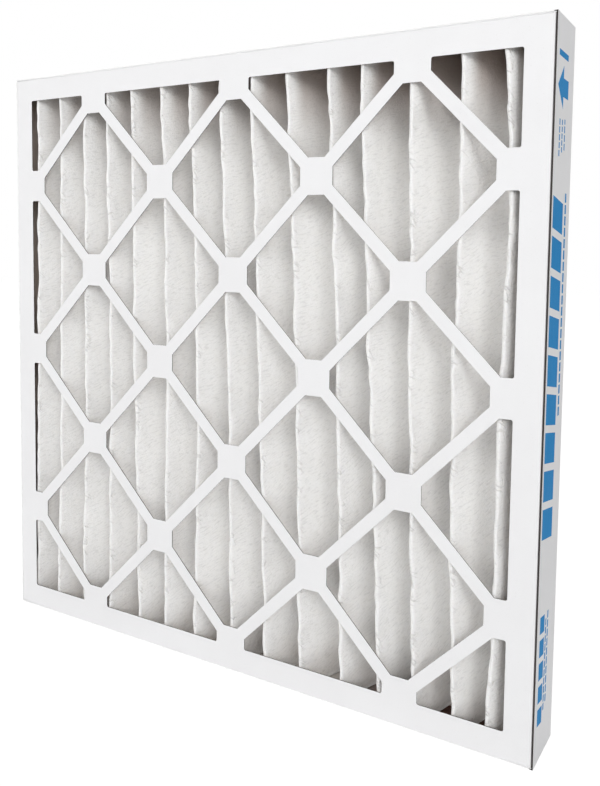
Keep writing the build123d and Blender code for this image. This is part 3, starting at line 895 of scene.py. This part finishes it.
class FILTER_OT_lip(bpy.types.Operator):
    """Rolls a thin paper lip into the seam along the top, the left side and the bottom"""
    bl_idname = "panel_filter.lip"
    bl_label = "Seam lip"

    def execute(self, context):
        settings, tubes = context.scene.filter_lip, []
        depth, side = FRONT_LOW.y + settings.setback, settings.side
        low, high = REAR_LOW.z + settings.height, REAR_HIGH.z - settings.height
        corners = np.array([(side, depth, high), (-side, depth, high), (-side, depth, low),
                            (side, depth, low)])
        for start, end in zip(corners[:-1], corners[1:]):
            path = np.linspace(start, end, 12)
            along = (end - start) / np.linalg.norm(end - start)
            deep = np.tile((0.0, 1.0, 0.0), (len(path), 1))
            tubes.append(tube(path, np.cross(deep, along), deep, settings.radius, settings.sides))
        piece = join_tubes("seam_lip", tubes)
        dress(piece, lip_material(context.scene.filter_board))
        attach(piece, "root")
        return {"FINISHED"}


class FILTER_OT_glue(bpy.types.Operator):
    """Gives the beds and lines of glue their finish"""
    bl_idname = "panel_filter.glue"
    bl_label = "Glue"

    def execute(self, context):
        material = glue_material(context.scene.filter_board)
        for name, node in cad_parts.items():
            if "glue" in name:
                dress(node, material)
        return {"FINISHED"}


class FILTER_OT_stage(bpy.types.Operator):
    """Sets up the floor, the lights and the camera"""
    bl_idname = "panel_filter.stage"
    bl_label = "Stage"

    def execute(self, context):
        settings, scene = context.scene.filter_stage, context.scene
        self.lay_floor(settings)
        self.light_sky(settings, scene)
        for name, place, size in LAMPS:
            data = bpy.data.lights.new(name, "AREA")
            data.size, data.energy, data.shape = size, getattr(settings, name), "DISK"
            lamp = bpy.data.objects.new(name, data)
            direction = Vector(LAMP_TARGET) - Vector(place)
            lamp.rotation_euler = direction.to_track_quat("-Z", "Y").to_euler()
            lamp.location = place
            scene.collection.objects.link(lamp)
        scene.view_settings.view_transform = "Standard"
        self.place_camera(scene)
        return {"FINISHED"}

    def lay_floor(self, settings):
        """A pale floor that the camera and reflections see as nearly white, with the shadow."""
        reach, glow, glow_share = 6.0, 1.1, 0.88
        corners = np.array([(-1, -1, 0), (1, -1, 0), (1, 1, 0), (-1, 1, 0)]) * reach
        floor = new_piece("floor", corners, [[0, 1, 2, 3]])
        material, graph = new_material("Pale floor")
        light = graph.add("ShaderNodeLightPath").outputs
        seen = graph.larger(light["Is Camera Ray"], light["Is Glossy Ray"])
        shader = graph.add("ShaderNodeBsdfPrincipled", {"Base Color": settings.floor,
                                                        "Roughness": 0.9})
        white = graph.add("ShaderNodeEmission", {"Color": (1, 1, 1), "Strength": glow})
        mixed = graph.add("ShaderNodeMixShader", {
            0: graph.times(seen, glow_share), 1: shader.outputs[0], 2: white.outputs[0]})
        graph.add("ShaderNodeOutputMaterial", {"Surface": mixed.outputs[0]})
        dress(floor, material)

    def light_sky(self, settings, scene):
        """Soft light from all round, which the camera and reflections see as white."""
        world = bpy.data.worlds.new("Soft light")
        world.use_nodes = True
        graph = Graph(world.node_tree)
        light = graph.add("ShaderNodeLightPath").outputs
        seen = graph.larger(light["Is Camera Ray"],
                            graph.larger(light["Is Glossy Ray"], light["Is Transmission Ray"]))
        strength = graph.plus(graph.times(seen, 1 - settings.sky), settings.sky)
        sky = graph.add("ShaderNodeBackground", {"Color": (1, 1, 1), "Strength": strength})
        graph.add("ShaderNodeOutputWorld", {"Surface": sky.outputs[0]})
        scene.world = world

    def place_camera(self, scene):
        """A camera at the photograph's place, with its lens and its framing."""
        data = bpy.data.cameras.new("photo_view")
        data.sensor_fit, data.sensor_width, data.lens = "HORIZONTAL", 36.0, CAMERA_LENS
        data.shift_x, data.shift_y = CAMERA_SHIFT
        data.clip_start, data.clip_end = 0.01, 30.0
        camera = bpy.data.objects.new("photo_view", data)
        right, down, forward = (Vector(axis) for axis in CAMERA_AXES)
        turn = Matrix((right, -down, -forward)).transposed()
        camera.matrix_world = Matrix.Translation(CAMERA_PLACE) @ turn.to_4x4()
        scene.collection.objects.link(camera)
        scene.camera = camera


class FILTER_PT_panel(bpy.types.Panel):
    """Lists the steps that build the filter and their settings"""
    bl_idname = "FILTER_PT_panel"
    bl_label = "Pleated Panel Filter"
    bl_space_type = "VIEW_3D"
    bl_region_type = "UI"
    bl_category = "Filter"

    def draw(self, context):
        for settings, operator in STEPS:
            box = self.layout.box()
            box.operator(operator.bl_idname)
            group = getattr(context.scene, settings)
            for name in group.bl_rna.properties.keys():
                if name not in ("rna_type", "name"):
                    box.prop(group, name)


SETTINGS = {
    "filter_medium": FilterMediumSettings,
    "filter_wires": FilterWireSettings,
    "filter_board": FilterBoardSettings,
    "filter_lip": FilterLipSettings,
    "filter_stage": FilterStageSettings,
}
STEPS = (
    ("filter_medium", FILTER_OT_medium),
    ("filter_wires", FILTER_OT_wires),
    ("filter_board", FILTER_OT_board),
    ("filter_lip", FILTER_OT_lip),
    ("filter_board", FILTER_OT_glue),
    ("filter_stage", FILTER_OT_stage),
)


def register():
    for settings in SETTINGS.values():
        bpy.utils.register_class(settings)
    for _, operator in STEPS:
        bpy.utils.register_class(operator)
    bpy.utils.register_class(FILTER_PT_panel)
    for name, settings in SETTINGS.items():
        setattr(bpy.types.Scene, name, PointerProperty(type=settings))


def unregister():
    for name in SETTINGS:
        delattr(bpy.types.Scene, name)
    bpy.utils.unregister_class(FILTER_PT_panel)
    for _, operator in STEPS:
        bpy.utils.unregister_class(operator)
    for settings in SETTINGS.values():
        bpy.utils.unregister_class(settings)


def main():
    register()
    bpy.ops.panel_filter.medium()
    bpy.ops.panel_filter.wires()
    bpy.ops.panel_filter.board()
    bpy.ops.panel_filter.lip()
    bpy.ops.panel_filter.glue()
    bpy.ops.panel_filter.stage()


if __name__ == "__main__":
    main()
